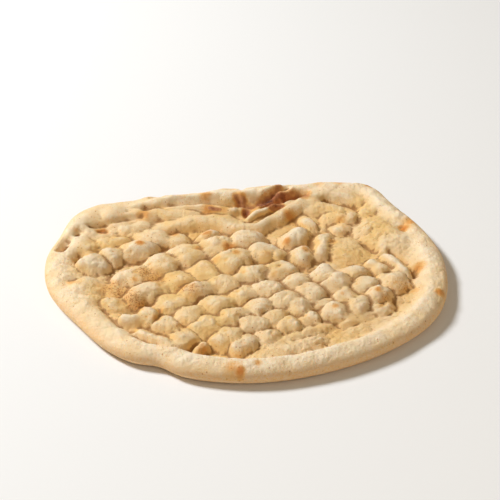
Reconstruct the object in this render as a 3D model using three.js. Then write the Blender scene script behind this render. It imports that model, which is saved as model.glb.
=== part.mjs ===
// A pide: one large, flat, oval leavened bread, pressed with the fingertips before baking.
// It is a single closed solid, in millimetres, +Z up, resting on its flat underside at z = 0.
// -Y is the side with the plain rolled rim, +Y the side with the folded and scorched rim.

import * as THREE from "three";

// ---------------------------------------------------------------- driving sizes (mm, degrees)

const HALF_WIDTH = 180;
const HALF_DEPTH = 148;

const RIM_HEIGHT = 17; // the rolled edge, above the table
const RIM_REACH = 14; // from the widest line in to the top of the roll
const RIM_WIDTH = 31; // from the widest line in to the foot of the roll, at the front
const SIDE_RIM_WIDTH = 34; // the same at the sides and back
const WIDEST_HEIGHT = 8; // the widest line, above the table
const UNDERCUT = 12; // how far the underside's edge lies inside the widest line

const FLOOR_HEIGHT = 5; // dough left under a fingertip, in the middle
const FLOOR_RISE = 6; // how much thicker that is beside the rim at the sides and back
const LEFT_FLOOR_RISE = 3; // and more again at the left
const FLOOR_RISE_REACH = 70;
const PRESSED_START = 4; // the pressed dough meets the rim this far in from the widest line
const PRESSED_FADE = 14; // and has its full height this much further in
const RIM_FOOT_DROP = 1; // the foot of the roll ends this far below the pressed dough's floor
const EDGE_FADE = 8; // creases and small waves fade out this near the widest line

const LUMP_ROUNDNESS = 2.5; // 2 is a parabola, more has a flatter top and steeper sides
const LUMP_FULLNESS = 1.04; // all lumps are this much wider
const LUMP_TALLNESS = 1.04; // and taller than their row says
const RIDGE_ROUNDNESS = 1.8;
const ROW_SHARPNESS = 2; // per mm: how sharp the dip between two lumps of a row is
const FIELD_SHARPNESS = 3; // per mm: how sharp the crease between two rows is
const RIDGE_SHARPNESS = 1.6; // per mm: how sharply a ridge stands out of the dough
const RIM_SHARPNESS = 0.9; // per mm: how sharp the crease along the foot of the rim is
const RIDGE_END_DROP = 0.45; // share of its height that a ridge loses at its ends
const RIDGE_END_REACH = 1.2; // and the share of its half length where it stops losing height
const HIDDEN_DEPTH = -6; // a lump or ridge stops falling here, below the floor

// Where the outline leaves its plain oval: direction, how far out, half the angle it covers.
const BULGES = [
  { at: 49, out: 26, spread: 12 }, // the square shoulder, back right
  { at: 29, out: 5, spread: 12 },
  { at: 10, out: 2.2, spread: 13 },
  { at: 62, out: 4, spread: 4 },
  { at: 104, out: -19, spread: 21 }, // the long dip of the folded back
  { at: 100, out: 5, spread: 7 }, // and the roll that lies in it
  { at: 119, out: -3, spread: 5 },
  { at: 134, out: -3, spread: 6 },
  { at: 150, out: 15, spread: 11 }, // the round shoulder, back left
  { at: 172, out: 2.5, spread: 8 },
  { at: 207, out: -8.5, spread: 16 }, // the flat front left
  { at: 270, out: 4.5, spread: 28 }, // the full front
  { at: 314, out: 1, spread: 16 },
  { at: 338, out: 4.5, spread: 16 },
  { at: 75.5, out: -3, spread: 2 }, // notches where the rim was pinched
  { at: 91.5, out: -4, spread: 1.5 },
  { at: 126, out: -4, spread: 2.5 },
  { at: 242, out: -5.5, spread: 6 },
];

// The directions that count as the front and the left, and half the angle each covers.
const FRONT = { at: -80, spread: 55 };
const LEFT = { at: -165, spread: 35 };

// How the height of the roll changes round the edge, as above.
const RIM_SWELLS = [
  { at: -95, up: 2, spread: 40 },
  { at: 45, up: 1, spread: 25 },
  { at: 108, up: 1.5, spread: 16 },
  { at: 180, up: -1, spread: 30 },
  { at: -145, up: -1.5, spread: 20 },
];

// Rows of lumps between the finger marks. They run from the front left to the back right: first
// lump, last lump, bow to the left, number, half length along the row, half width, height.
const LUMP_ROWS = [
  { from: [0, -110], to: [57, -70], bow: 0, count: 4, long: 15, wide: 13, high: 9 },
  { from: [-14, -98], to: [47, -57], bow: 0, count: 4, long: 19, wide: 16, high: 10.5 },
  { from: [-31, -85], to: [81, -25], bow: 0, count: 6, long: 19.5, wide: 17.5, high: 12 },
  { from: [-45, -69], to: [20, -31], bow: 0, count: 4, long: 19.5, wide: 17.5, high: 12 },
  { from: [48, -21], to: [97, -8], bow: 0, count: 3, long: 17, wide: 16, high: 11.5 },
  { from: [-62, -55], to: [31, -4], bow: 6, count: 5, long: 20.5, wide: 18.5, high: 12.5 },
  { from: [-84, -37], to: [14, 22], bow: 0, count: 5, long: 22.5, wide: 21.5, high: 13 },
  { from: [-97, -15], to: [0, 43], bow: 5, count: 5, long: 23, wide: 22, high: 13 },
  { from: [-135, 1], to: [-121, 19], bow: 0, count: 2, long: 16, wide: 16, high: 9 },
  { from: [-97, 29], to: [-79, 37], bow: 0, count: 1, long: 22, wide: 18, high: 12 },
  { from: [-82, 48], to: [-62, 46], bow: 0, count: 2, long: 17, wide: 14, high: 9.5 },
  { from: [-34, 52], to: [-24, 56], bow: 0, count: 1, long: 13, wide: 11, high: 10 },
  { from: [-112, -57], to: [-100, -60], bow: 0, count: 1, long: 17, wide: 11, high: 5 },
  { from: [-80, -74], to: [-71, -70], bow: 0, count: 1, long: 15, wide: 13, high: 10 },
  { from: [97, -55], to: [130, -22], bow: -5, count: 3, long: 17, wide: 16, high: 10.5 },
  { from: [77, -62], to: [107, -30], bow: 5, count: 3, long: 17, wide: 15.5, high: 10.5 },
  { from: [-64, -85], to: [-48, -100], bow: 0, count: 2, long: 15.5, wide: 14.5, high: 9.5 },
  { from: [-34, -114], to: [-27, -114], bow: 0, count: 1, long: 10, wide: 10, high: 7 },
  { from: [-138, -32], to: [-110, -34], bow: 0, count: 2, long: 19, wide: 15, high: 6 },
  { from: [-133, -50], to: [-125, -48], bow: 0, count: 1, long: 15, wide: 12, high: 3 },
  { from: [86, -68], to: [118, -57], bow: 0, count: 3, long: 13, wide: 12, high: 5 },
  { from: [31, 17], to: [40, 20], bow: 0, count: 1, long: 13, wide: 11, high: 9 },
  { from: [69, -49], to: [76, -45], bow: 0, count: 1, long: 14, wide: 11.5, high: 9.5 },
  { from: [-152, 29], to: [-146, 36], bow: 0, count: 1, long: 18, wide: 15, high: 4 },
];
const LUMP_SHIFT = 1.5; // how far a lump strays from its place in the row
const LUMP_LENGTH_SPREAD = 0.12; // shares by which its sizes differ
const LUMP_WIDTH_SPREAD = 0.12;
const LUMP_HEIGHT_SPREAD = 0.18;

// The curved ridge that ends the rows at the front left.
const FRONT_LEFT_SMILE = [[-91, -95], [-78, -105], [-61, -113], [-49, -112], [-42, -106]];

// The long fold that runs from the back left into the torn hollow.
const LONG_FOLD = [
  [-84, 65], [-57, 72], [-33, 76], [-8, 67], [12, 67], [24, 79], [42, 93], [58, 104], [70, 110],
];

// Ridges, folds and pads that are longer than a lump: crest line, half width, height, and the share
// by which the right side, seen along the line, is steeper than the left.
const RIDGES = [
  { crest: [[38, 37], [56, 65]], wide: 15, high: 11 }, // long lumps and pads, middle right
  { crest: [[46, 10], [57, 32]], wide: 15, high: 10.5 },
  { crest: [[67, 18], [72, 36], [74, 52], [77, 60]], wide: 10.5, high: 9 },
  { crest: [[55, 74], [66, 79]], wide: 16, high: 7 },
  { crest: [[74, 88], [92, 84], [108, 85]], wide: 10, high: 5.5 },
  { crest: [[82, 63], [97, 74]], wide: 11, high: 5.5 },
  { crest: [[86, 20], [98, 50]], wide: 24, high: 6 },
  { crest: [[115, 76], [134, 52], [144, 32]], wide: 25, high: 7 },
  { crest: [[126, 20], [136, 4], [146, -12]], wide: 10, high: 7 },
  { crest: [[113, 13], [126, -6]], wide: 11, high: 7 },
  { crest: [[-134, 38], [-106, 47]], wide: 12, high: 5.5 },
  { crest: [[-118, 60], [-92, 73]], wide: 13, high: 5 },
  { crest: [[112, 98], [126, 92]], wide: 18, high: 5 },
  { crest: FRONT_LEFT_SMILE, wide: 9, high: 8, lean: 0.2 },
  { crest: [[-106, -80], [-90, -77], [-80, -74]], wide: 9, high: 7.5 },
  { crest: [[-101, -55], [-78, -35]], wide: 14, high: 12.5 },
  { crest: [[-116, -26], [-99, -17]], wide: 14, high: 10 },
  { crest: [[13, -114], [33, -104], [54, -90], [72, -80]], wide: 11, high: 5.5, lean: 0.2 },
  { crest: [[4, -128], [24, -120], [46, -111], [66, -99]], wide: 12, high: 6, lean: 0.2 },
  { crest: LONG_FOLD, wide: 12, high: 8, lean: 0.3 }, // folds along the back
  { crest: [[-112, 99], [-84, 99], [-52, 98], [-22, 93], [-12, 93]], wide: 10, high: 7, lean: 0.4 },
  { crest: [[-99, 96], [-84, 91], [-62, 85]], wide: 5, high: 6, lean: 0.2 },
  { crest: [[-120, 82], [-88, 86], [-38, 82]], wide: 10, high: 5.5, lean: 0.4 },
  { crest: [[-96, 104], [-52, 112], [-24, 116], [-9, 113]], wide: 15, high: 10.5, lean: 0.35 },
  { crest: [[1, 77], [15, 89], [28, 97], [40, 101]], wide: 6, high: 8.5, lean: 0.3 },
  { crest: [[-98, 42], [-80, 57]], wide: 13, high: 10, lean: 0.3 },
  { crest: [[-136, 80], [-116, 92]], wide: 21, high: 5.5 },
  { crest: [[53, 114], [82, 120], [100, 117], [112, 108]], wide: 14, high: 7, lean: 0.5 },
  { crest: [[52, 102], [71, 101], [86, 98], [102, 88]], wide: 13, high: 5.5, lean: 0.2 },
];

// Creases and pits sunk into the finished surface, and thin lips raised from it, which have a
// depth below nothing: line, half width, depth.
const CREASES = [
  { line: [[110, 42], [121, 31]], wide: 3, deep: 4.5 },
  { line: [[133, 28], [147, 10]], wide: 3, deep: 4.5 },
  { line: [[127, 9], [134, 0]], wide: 2.5, deep: 3 },
  { line: [[77, 112], [91, 106], [106, 102]], wide: 3, deep: 4 },
  { line: [[-146, 66], [-126, 75], [-112, 81], [-99, 84]], wide: 3, deep: 4 },
  { line: [[-96, 94], [-70, 99], [-34, 103], [-14, 102]], wide: 3, deep: 4 },
  { line: [[-92, 112], [-62, 121], [-34, 127], [-12, 126]], wide: 3, deep: 2.5 },
  { line: [[-168, 26], [-164, 40]], wide: 5, deep: 6 },
  { line: [[-156, 50], [-154, 56]], wide: 5, deep: 4 },
  { line: [[-152, 11], [-150, 18]], wide: 5, deep: 5 },
  { line: [[-158, -24], [-153, -22]], wide: 5, deep: 2.5 },
  { line: [[-137, 62], [-132, 63]], wide: 3.5, deep: 3.5 },
  { line: [[-90, -101], [-78, -112], [-61, -119], [-49, -118], [-40, -110]], wide: 3, deep: 4.5 },
  { line: [[-120, -64], [-109, -80], [-102, -88], [-92, -93]], wide: 3, deep: 3.5 },
  { line: [[152, -8], [153, -4]], wide: 5, deep: 5 },
  { line: [[148, 58], [149, 68]], wide: 6, deep: 3 },
  { line: [[2, 118], [10, 122], [32, 122]], wide: 6, deep: -2.5 },
  { line: [[-5, 108], [6, 106], [16, 107], [24, 112], [34, 117], [54, 121]], wide: 5, deep: 5 }, // the hollow
  { line: [[12, 99], [19, 107], [27, 113]], wide: 3.5, deep: -5 }, // and the torn crags in it
  { line: [[19, 100], [27, 107], [34, 110]], wide: 3, deep: 4 },
  { line: [[17, 119], [26, 125], [34, 131]], wide: 3.5, deep: -2.5 },
  { line: [[25, 118], [33, 124], [42, 129]], wide: 2.5, deep: 3.5 },
  { line: [[30, 116], [40, 122], [46, 126]], wide: 3, deep: -2.2 },
  { line: [[39, 117], [50, 121], [60, 121]], wide: 2.5, deep: 4 },
  { line: [[-1, 115], [5, 113], [12, 112], [19, 115]], wide: 3, deep: 3 },
  { line: [[-15, 88], [-6, 96], [0, 98]], wide: 5, deep: -3 },
  { line: [[1, 92], [1, 96]], wide: 4, deep: 4 },
  { line: [[1, 76], [10, 76], [27, 92], [49, 110]], wide: 3, deep: 3 },
  { line: [[38, 102], [46, 109], [51, 110]], wide: 4, deep: -2.5 },
];

// Slow waves that keep every surface uneven: wavelengths and total height. The last two push the
// pressed dough sideways and endways, so that no lump is a plain oval.
const RIM_WAVES = { seed: 5, count: 6, shortest: 45, longest: 90, height: 0.9 };
const FLOOR_WAVES = { seed: 9, count: 6, shortest: 60, longest: 120, height: 0.5 };
const SKIN_WAVES = { seed: 21, count: 12, shortest: 14, longest: 26, height: 0.35 };
const SIDEWAYS_WAVES = { seed: 51, count: 10, shortest: 14, longest: 40, height: 1.8 };
const ENDWAYS_WAVES = { seed: 61, count: 10, shortest: 14, longest: 40, height: 1.8 };
const RIDGE_PUSH = 0.4; // ridges and folds are pushed by this share of what the lumps are
const LUMP_SEED = 11;

// The mesh: cells across the top, and rings of the edge below the widest line, each as how far
// it has turned under (0 at the widest line, 90 at the underside).
const CELLS_ACROSS = 70;
const CORNER_REACH = 0.4; // in cells: a corner takes the mean height of the places this far around
const EDGE_CROWDING = 0.2; // cells shrink towards the edge, where the surface turns fastest
const UNDER_TURNS = [45, 90];
const BASE_RINGS = [0.92, 0.7, 0.35]; // each has half the corners of the ring outside it

// ---------------------------------------------------------------- helpers

const radians = THREE.MathUtils.degToRad;

function clamp01(t) {
  return Math.min(Math.max(t, 0), 1);
}

function smoothStep(t) {
  const s = clamp01(t);
  return s * s * (3 - 2 * s);
}

// The larger of a and b, with their meeting line rounded over about 1 / sharpness.
function softMax(a, b, sharpness) {
  return Math.max(a, b) + Math.log1p(Math.exp(-sharpness * Math.abs(a - b))) / sharpness;
}

// A bell of height 1 around a direction, with the angle measured the short way round.
function bellAround(angle, at, spread) {
  const off = ((THREE.MathUtils.radToDeg(angle) - at + 540) % 360) - 180;
  return Math.exp(-((off / spread) ** 2));
}

// A repeatable run of numbers from 0 to 1.
function randomFrom(seed) {
  let state = seed;
  return () => {
    state = (state + 0x6d2b79f5) | 0;
    let t = Math.imul(state ^ (state >>> 15), state | 1);
    t ^= t + Math.imul(t ^ (t >>> 7), t | 61);
    return ((t ^ (t >>> 14)) >>> 0) / 2 ** 32;
  };
}

// Distance to a line of straight runs. A lean above 0 makes the right side, seen along the line,
// count as further away, so that what is built on the distance falls off faster there.
function distanceToLine(x, y, line, lean = 0) {
  let nearest = Infinity;
  for (let i = 0; i + 1 < line.length; i++) {
    const [x0, y0] = line[i];
    const dx = line[i + 1][0] - x0;
    const dy = line[i + 1][1] - y0;
    const t = clamp01(((x - x0) * dx + (y - y0) * dy) / (dx * dx + dy * dy));
    const offX = x - x0 - t * dx;
    const offY = y - y0 - t * dy;
    const away = Math.hypot(offX, offY);
    const side = away > 0 ? (offX * dy - offY * dx) / (away * Math.hypot(dx, dy)) : 0;
    nearest = Math.min(nearest, away * (1 + lean * side));
  }
  return nearest;
}

// A sum of sine waves with random directions, lengths and phases.
function makeWaves({ seed, count, shortest, longest, height }) {
  const random = randomFrom(seed);
  const waves = Array.from({ length: count }, () => {
    const direction = random() * 2 * Math.PI;
    const turns = (2 * Math.PI) / (shortest + (longest - shortest) * random());
    return {
      kx: Math.cos(direction) * turns,
      ky: Math.sin(direction) * turns,
      phase: random() * 2 * Math.PI,
    };
  });
  const share = height / Math.sqrt(count);
  return (x, y) => {
    let sum = 0;
    for (const { kx, ky, phase } of waves) sum += Math.sin(x * kx + y * ky + phase);
    return sum * share;
  };
}

// ---------------------------------------------------------------- form of the bread

const rimWave = makeWaves(RIM_WAVES);
const floorWave = makeWaves(FLOOR_WAVES);
const skinWave = makeWaves(SKIN_WAVES);
const sidewaysWave = makeWaves(SIDEWAYS_WAVES);
const endwaysWave = makeWaves(ENDWAYS_WAVES);

// Distance from the centre to the widest line, in the direction of an angle.
function outlineRadius(angle) {
  let radius = 1 / Math.hypot(Math.cos(angle) / HALF_WIDTH, Math.sin(angle) / HALF_DEPTH);
  for (const { at, out, spread } of BULGES) radius += out * bellAround(angle, at, spread);
  return radius;
}

// Every row as its lumps, each with its own place and sizes.
function makeLumpRows() {
  const random = randomFrom(LUMP_SEED);
  const stray = () => random() * 2 - 1;
  return LUMP_ROWS.map(({ from, to, bow, count, long, wide, high }) => {
    const dx = to[0] - from[0];
    const dy = to[1] - from[1];
    const length = Math.hypot(dx, dy);
    const ux = dx / length;
    const uy = dy / length;
    return Array.from({ length: count }, (_, i) => {
      const t = count > 1 ? i / (count - 1) : 0;
      const side = bow * 4 * t * (1 - t);
      return {
        x: from[0] + dx * t - uy * side + stray() * LUMP_SHIFT,
        y: from[1] + dy * t + ux * side + stray() * LUMP_SHIFT,
        ux,
        uy,
        long: long * (1 + LUMP_LENGTH_SPREAD * stray()),
        wide: wide * (1 + LUMP_WIDTH_SPREAD * stray()),
        high: high * (1 + LUMP_HEIGHT_SPREAD * stray()),
      };
    });
  });
}

const lumpRows = makeLumpRows();

function lumpHeight(x, y, lump) {
  const along = ((x - lump.x) * lump.ux + (y - lump.y) * lump.uy) / lump.long;
  const across = ((y - lump.y) * lump.ux - (x - lump.x) * lump.uy) / lump.wide;
  const away = Math.hypot(along, across) / LUMP_FULLNESS;
  return Math.max(LUMP_TALLNESS * lump.high * (1 - away ** LUMP_ROUNDNESS), HIDDEN_DEPTH);
}

function ridgeHeight(x, y, { crest, wide, high, lean }) {
  const [x0, y0] = crest[0];
  const dx = crest.at(-1)[0] - x0;
  const dy = crest.at(-1)[1] - y0;
  const along = (2 * ((x - x0) * dx + (y - y0) * dy)) / (dx * dx + dy * dy) - 1;
  const body = 1 - RIDGE_END_DROP * Math.min(Math.abs(along), RIDGE_END_REACH) ** 4;
  const height = high * (body - (distanceToLine(x, y, crest, lean) / wide) ** RIDGE_ROUNDNESS);
  return Math.max(height, HIDDEN_DEPTH);
}

// Height of the pressed dough above its floor.
function fieldRelief(x, y) {
  const pushX = sidewaysWave(x, y);
  const pushY = endwaysWave(x, y);
  let relief = 0;
  for (const row of lumpRows) {
    let rowHeight = HIDDEN_DEPTH;
    for (const lump of row) {
      rowHeight = softMax(rowHeight, lumpHeight(x + pushX, y + pushY, lump), ROW_SHARPNESS);
    }
    relief = softMax(relief, rowHeight, FIELD_SHARPNESS);
  }
  const ridgeX = x + RIDGE_PUSH * pushX;
  const ridgeY = y + RIDGE_PUSH * pushY;
  for (const ridge of RIDGES) {
    relief = softMax(relief, ridgeHeight(ridgeX, ridgeY, ridge), RIDGE_SHARPNESS);
  }
  return relief;
}

// Height of the top surface at a place that lies `inside` mm within the widest line.
function topHeight(x, y, angle, inside) {
  let rimTop = RIM_HEIGHT + rimWave(x, y);
  for (const { at, up, spread } of RIM_SWELLS) rimTop += up * bellAround(angle, at, spread);

  const atFront = bellAround(angle, FRONT.at, FRONT.spread);
  const atLeft = bellAround(angle, LEFT.at, LEFT.spread);
  const width = SIDE_RIM_WIDTH + (RIM_WIDTH - SIDE_RIM_WIDTH) * atFront;
  const rise = FLOOR_RISE * (1 - atFront) + LEFT_FLOOR_RISE * atLeft;
  const risen = rise * smoothStep(1 - (inside - RIM_REACH) / FLOOR_RISE_REACH);
  const floor = FLOOR_HEIGHT + risen + floorWave(x, y);

  const turn = 1 - clamp01(inside / RIM_REACH);
  const roll = WIDEST_HEIGHT + (rimTop - WIDEST_HEIGHT) * Math.sqrt(1 - turn * turn);
  const fall = smoothStep((inside - RIM_REACH) / (width - RIM_REACH));
  const rim = roll * (1 - fall) + (floor - RIM_FOOT_DROP) * fall;

  const fade = 1 - smoothStep((inside - PRESSED_START) / PRESSED_FADE);
  let height = softMax(rim, floor + fieldRelief(x, y) - PRESSED_FADE * fade, RIM_SHARPNESS);

  const sunk = smoothStep(inside / EDGE_FADE);
  for (const { line, wide, deep } of CREASES) {
    height -= sunk * deep * Math.exp(-((distanceToLine(x, y, line) / wide) ** 2));
  }
  return height + sunk * skinWave(x, y);
}

// ---------------------------------------------------------------- mesh

// A square grid pulled into a disc, so that cells stay even: a and b run from -1 to 1, and the
// answer is a direction and a share of the way to the edge.
function squareToDisc(a, b) {
  if (a === 0 && b === 0) return { angle: 0, share: 0 };
  const wideSide = Math.abs(a) > Math.abs(b);
  const reach = wideSide ? a : b;
  const eighth = Math.PI / 4;
  const base = wideSide ? eighth * (b / a) : 2 * eighth - eighth * (a / b);
  const share = Math.abs(reach);
  return {
    angle: reach < 0 ? base + Math.PI : base,
    share: (1 + EDGE_CROWDING) * share - EDGE_CROWDING * share ** 3,
  };
}

// The top surface at a place of the grid, counted in cells.
function topPlace(i, j) {
  const { angle, share } = squareToDisc((2 * i) / CELLS_ACROSS - 1, (2 * j) / CELLS_ACROSS - 1);
  const radius = outlineRadius(angle);
  const x = radius * share * Math.cos(angle);
  const y = radius * share * Math.sin(angle);
  return { x, y, z: topHeight(x, y, angle, radius * (1 - share)) };
}

function meanHeight(i, j) {
  const steps = [-CORNER_REACH, 0, CORNER_REACH];
  const heights = steps.flatMap((di) => steps.map((dj) => topPlace(i + di, j + dj).z));
  return heights.reduce((sum, z) => sum + z, 0) / heights.length;
}

function breadGeometry() {
  const positions = [];
  const triangles = [];
  const n = CELLS_ACROSS;
  const gridIndex = (i, j) => j * (n + 1) + i;

  for (let j = 0; j <= n; j++) {
    for (let i = 0; i <= n; i++) {
      const { x, y, z } = topPlace(i, j);
      const onBorder = i === 0 || i === n || j === 0 || j === n;
      positions.push(x, y, onBorder ? z : meanHeight(i, j));
    }
  }
  for (let j = 0; j < n; j++) {
    for (let i = 0; i < n; i++) {
      const [p, q] = [gridIndex(i, j), gridIndex(i + 1, j)];
      const [r, s] = [gridIndex(i + 1, j + 1), gridIndex(i, j + 1)];
      const fold = (i < n / 2) === (j < n / 2); // diagonals point outwards in every corner
      if (fold) triangles.push(p, q, r, p, r, s);
      else triangles.push(p, q, s, q, r, s);
    }
  }

  // The border of the grid, counter-clockwise seen from above.
  let ring = [];
  for (let i = 0; i < n; i++) ring.push(gridIndex(i, 0));
  for (let j = 0; j < n; j++) ring.push(gridIndex(n, j));
  for (let i = n; i > 0; i--) ring.push(gridIndex(i, n));
  for (let j = n; j > 0; j--) ring.push(gridIndex(0, j));
  const corner = (index) => [positions[3 * index], positions[3 * index + 1]];
  const addPoint = (x, y, z) => positions.push(x, y, z) / 3 - 1;

  // The edge turns under from the widest line to the underside.
  const widest = ring.map(corner);
  for (const degrees of UNDER_TURNS) {
    const turn = radians(degrees);
    const next = widest.map(([x, y]) => {
      const shrink = 1 - (UNDERCUT * (1 - Math.cos(turn))) / Math.hypot(x, y);
      return addPoint(x * shrink, y * shrink, WIDEST_HEIGHT * (1 - Math.sin(turn)));
    });
    ring.forEach((upper, k) => {
      const after = (k + 1) % ring.length;
      triangles.push(upper, next[k], next[after], upper, next[after], ring[after]);
    });
    ring = next;
  }

  // The flat underside: each ring inwards has half as many corners, and the last meets at a point.
  const baseEdge = ring.map(corner);
  BASE_RINGS.forEach((share, level) => {
    const step = 2 ** (level + 1);
    const next = baseEdge
      .filter((_, k) => k % step === 0)
      .map(([x, y]) => addPoint(x * share, y * share, 0));
    next.forEach((inner, k) => {
      const innerAfter = next[(k + 1) % next.length];
      const [a, b, c] = [2 * k, 2 * k + 1, 2 * k + 2].map((m) => ring[m % ring.length]);
      triangles.push(a, inner, b, b, inner, innerAfter, b, innerAfter, c);
    });
    ring = next;
  });
  const middle = addPoint(0, 0, 0);
  ring.forEach((outer, k) => triangles.push(outer, middle, ring[(k + 1) % ring.length]));

  const geometry = new THREE.BufferGeometry();
  geometry.setAttribute("position", new THREE.Float32BufferAttribute(positions, 3));
  geometry.setIndex(triangles);
  geometry.computeBoundingBox();
  const { min, max } = geometry.boundingBox;
  geometry.translate(-(min.x + max.x) / 2, -(min.y + max.y) / 2, 0); // the origin is the middle
  geometry.computeVertexNormals();
  return geometry;
}

const crust = new THREE.MeshStandardMaterial({ color: 0xdab581, roughness: 0.85, metalness: 0 });

const bread = new THREE.Mesh(breadGeometry(), crust);
bread.name = "bread";

const pide = new THREE.Group();
pide.add(bread);

export default pide;
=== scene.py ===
"""A pide: one large, flat, oval bread pressed with the fingertips, dressed around its CAD solid."""

import math

import bpy
import numpy as np
from mathutils import Matrix, Vector, noise


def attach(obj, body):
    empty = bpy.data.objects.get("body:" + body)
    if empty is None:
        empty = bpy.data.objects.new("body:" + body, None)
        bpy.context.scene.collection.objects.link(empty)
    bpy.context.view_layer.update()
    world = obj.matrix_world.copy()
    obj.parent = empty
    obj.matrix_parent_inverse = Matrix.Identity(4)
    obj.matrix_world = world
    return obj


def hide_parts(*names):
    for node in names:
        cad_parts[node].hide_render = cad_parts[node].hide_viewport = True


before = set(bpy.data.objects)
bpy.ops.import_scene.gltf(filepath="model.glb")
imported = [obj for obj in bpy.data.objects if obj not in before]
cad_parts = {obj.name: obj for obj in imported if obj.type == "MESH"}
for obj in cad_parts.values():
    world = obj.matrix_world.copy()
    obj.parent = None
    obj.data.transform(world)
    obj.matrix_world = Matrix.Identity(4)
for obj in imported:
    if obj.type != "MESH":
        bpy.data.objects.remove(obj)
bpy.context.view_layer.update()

bl_info = {
    "name": "Pide Bread",
    "version": (1, 0, 0),
    "blender": (4, 5, 0),
    "location": "3D View > Sidebar > Pide",
    "description": "Makes a fingertip-pressed flat bread with a rolled, folded and scorched rim",
    "category": "Add Mesh",
}

MM = 0.001
LEAST_DISTANCE = 0.001  # in mm, the shortest distance that is divided by

# ---------------------------------------------------------------- form of the bread (mm, degrees)
# The same named sizes and rules as the solid's, so that the two forms agree.

WIDEST_HEIGHT = 8  # the widest line, above the table
UNDERCUT = 12  # how far the underside's edge lies inside the widest line
SIDE_RIM_WIDTH = 34  # from the widest line in to the foot of the roll, at the sides and back

FLOOR_RISE = 6  # how much thicker the pressed dough is beside the rim at the sides and back
LEFT_FLOOR_RISE = 3  # and more again at the left
FLOOR_RISE_REACH = 70
PRESSED_START = 4  # the pressed dough meets the rim this far in from the widest line
PRESSED_FADE = 14  # and has its full height this much further in
RIM_FOOT_DROP = 1  # the foot of the roll ends this far below the pressed dough's floor
EDGE_FADE = 8  # creases and small waves fade out this near the widest line

LUMP_ROUNDNESS = 2.5  # 2 is a parabola, more has a flatter top and steeper sides
LUMP_FULLNESS = 1.04  # all lumps are this much wider
LUMP_TALLNESS = 1.04  # and taller than their row says
RIDGE_ROUNDNESS = 1.8
ROW_SHARPNESS = 2  # per mm: how sharp the dip between two lumps of a row is
FIELD_SHARPNESS = 3  # per mm: how sharp the crease between two rows is
RIDGE_SHARPNESS = 1.6  # per mm: how sharply a ridge stands out of the dough
RIM_SHARPNESS = 0.9  # per mm: how sharp the crease along the foot of the rim is
RIDGE_END_DROP = 0.45  # share of its height that a ridge loses at its ends
RIDGE_END_REACH = 1.2  # and the share of its half length where it stops losing height
HIDDEN_DEPTH = -6  # a lump or ridge stops falling here, below the floor

# Where the outline leaves its plain oval: direction, how far out, half the angle it covers.
BULGES = (
    (49, 26, 12),  # the square shoulder, back right
    (29, 5, 12),
    (10, 2.2, 13),
    (62, 4, 4),
    (104, -19, 21),  # the long dip of the folded back
    (100, 5, 7),  # and the roll that lies in it
    (119, -3, 5),
    (134, -3, 6),
    (150, 15, 11),  # the round shoulder, back left
    (172, 2.5, 8),
    (207, -8.5, 16),  # the flat front left
    (270, 4.5, 28),  # the full front
    (314, 1, 16),
    (338, 4.5, 16),
    (75.5, -3, 2),  # notches where the rim was pinched
    (91.5, -4, 1.5),
    (126, -4, 2.5),
    (242, -5.5, 6),
)
# The directions that count as the front and the left, and half the angle each covers.
FRONT = (-80, 55)
LEFT = (-165, 35)
# How the height of the roll changes round the edge: direction, how far up, half the angle.
RIM_SWELLS = ((-95, 2, 40), (45, 1, 25), (108, 1.5, 16), (180, -1, 30), (-145, -1.5, 20))

# Rows of lumps between the finger marks. They run from the front left to the back right: first
# lump, last lump, bow to the left, number, half length along the row, half width, height.
LUMP_ROWS = (
    ((0, -110), (57, -70), 0, 4, 15, 13, 9),
    ((-14, -98), (47, -57), 0, 4, 19, 16, 10.5),
    ((-31, -85), (81, -25), 0, 6, 19.5, 17.5, 12),
    ((-45, -69), (20, -31), 0, 4, 19.5, 17.5, 12),
    ((48, -21), (97, -8), 0, 3, 17, 16, 11.5),
    ((-62, -55), (31, -4), 6, 5, 20.5, 18.5, 12.5),
    ((-84, -37), (14, 22), 0, 5, 22.5, 21.5, 13),
    ((-97, -15), (0, 43), 5, 5, 23, 22, 13),
    ((-135, 1), (-121, 19), 0, 2, 16, 16, 9),
    ((-97, 29), (-79, 37), 0, 1, 22, 18, 12),
    ((-82, 48), (-62, 46), 0, 2, 17, 14, 9.5),
    ((-34, 52), (-24, 56), 0, 1, 13, 11, 10),
    ((-112, -57), (-100, -60), 0, 1, 17, 11, 5),
    ((-80, -74), (-71, -70), 0, 1, 15, 13, 10),
    ((97, -55), (130, -22), -5, 3, 17, 16, 10.5),
    ((77, -62), (107, -30), 5, 3, 17, 15.5, 10.5),
    ((-64, -85), (-48, -100), 0, 2, 15.5, 14.5, 9.5),
    ((-34, -114), (-27, -114), 0, 1, 10, 10, 7),
    ((-138, -32), (-110, -34), 0, 2, 19, 15, 6),
    ((-133, -50), (-125, -48), 0, 1, 15, 12, 3),
    ((86, -68), (118, -57), 0, 3, 13, 12, 5),
    ((31, 17), (40, 20), 0, 1, 13, 11, 9),
    ((69, -49), (76, -45), 0, 1, 14, 11.5, 9.5),
    ((-152, 29), (-146, 36), 0, 1, 18, 15, 4),
)
LUMP_SHIFT = 1.5  # how far a lump strays from its place in the row
LUMP_LENGTH_SPREAD = 0.12  # shares by which its sizes differ
LUMP_WIDTH_SPREAD = 0.12
LUMP_HEIGHT_SPREAD = 0.18
LUMP_SEED = 11

# The curved ridge that ends the rows at the front left.
FRONT_LEFT_SMILE = ((-91, -95), (-78, -105), (-61, -113), (-49, -112), (-42, -106))

# The long fold that runs from the back left into the torn hollow.
LONG_FOLD = ((-84, 65), (-57, 72), (-33, 76), (-8, 67), (12, 67), (24, 79), (42, 93), (58, 104), (70, 110))

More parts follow.
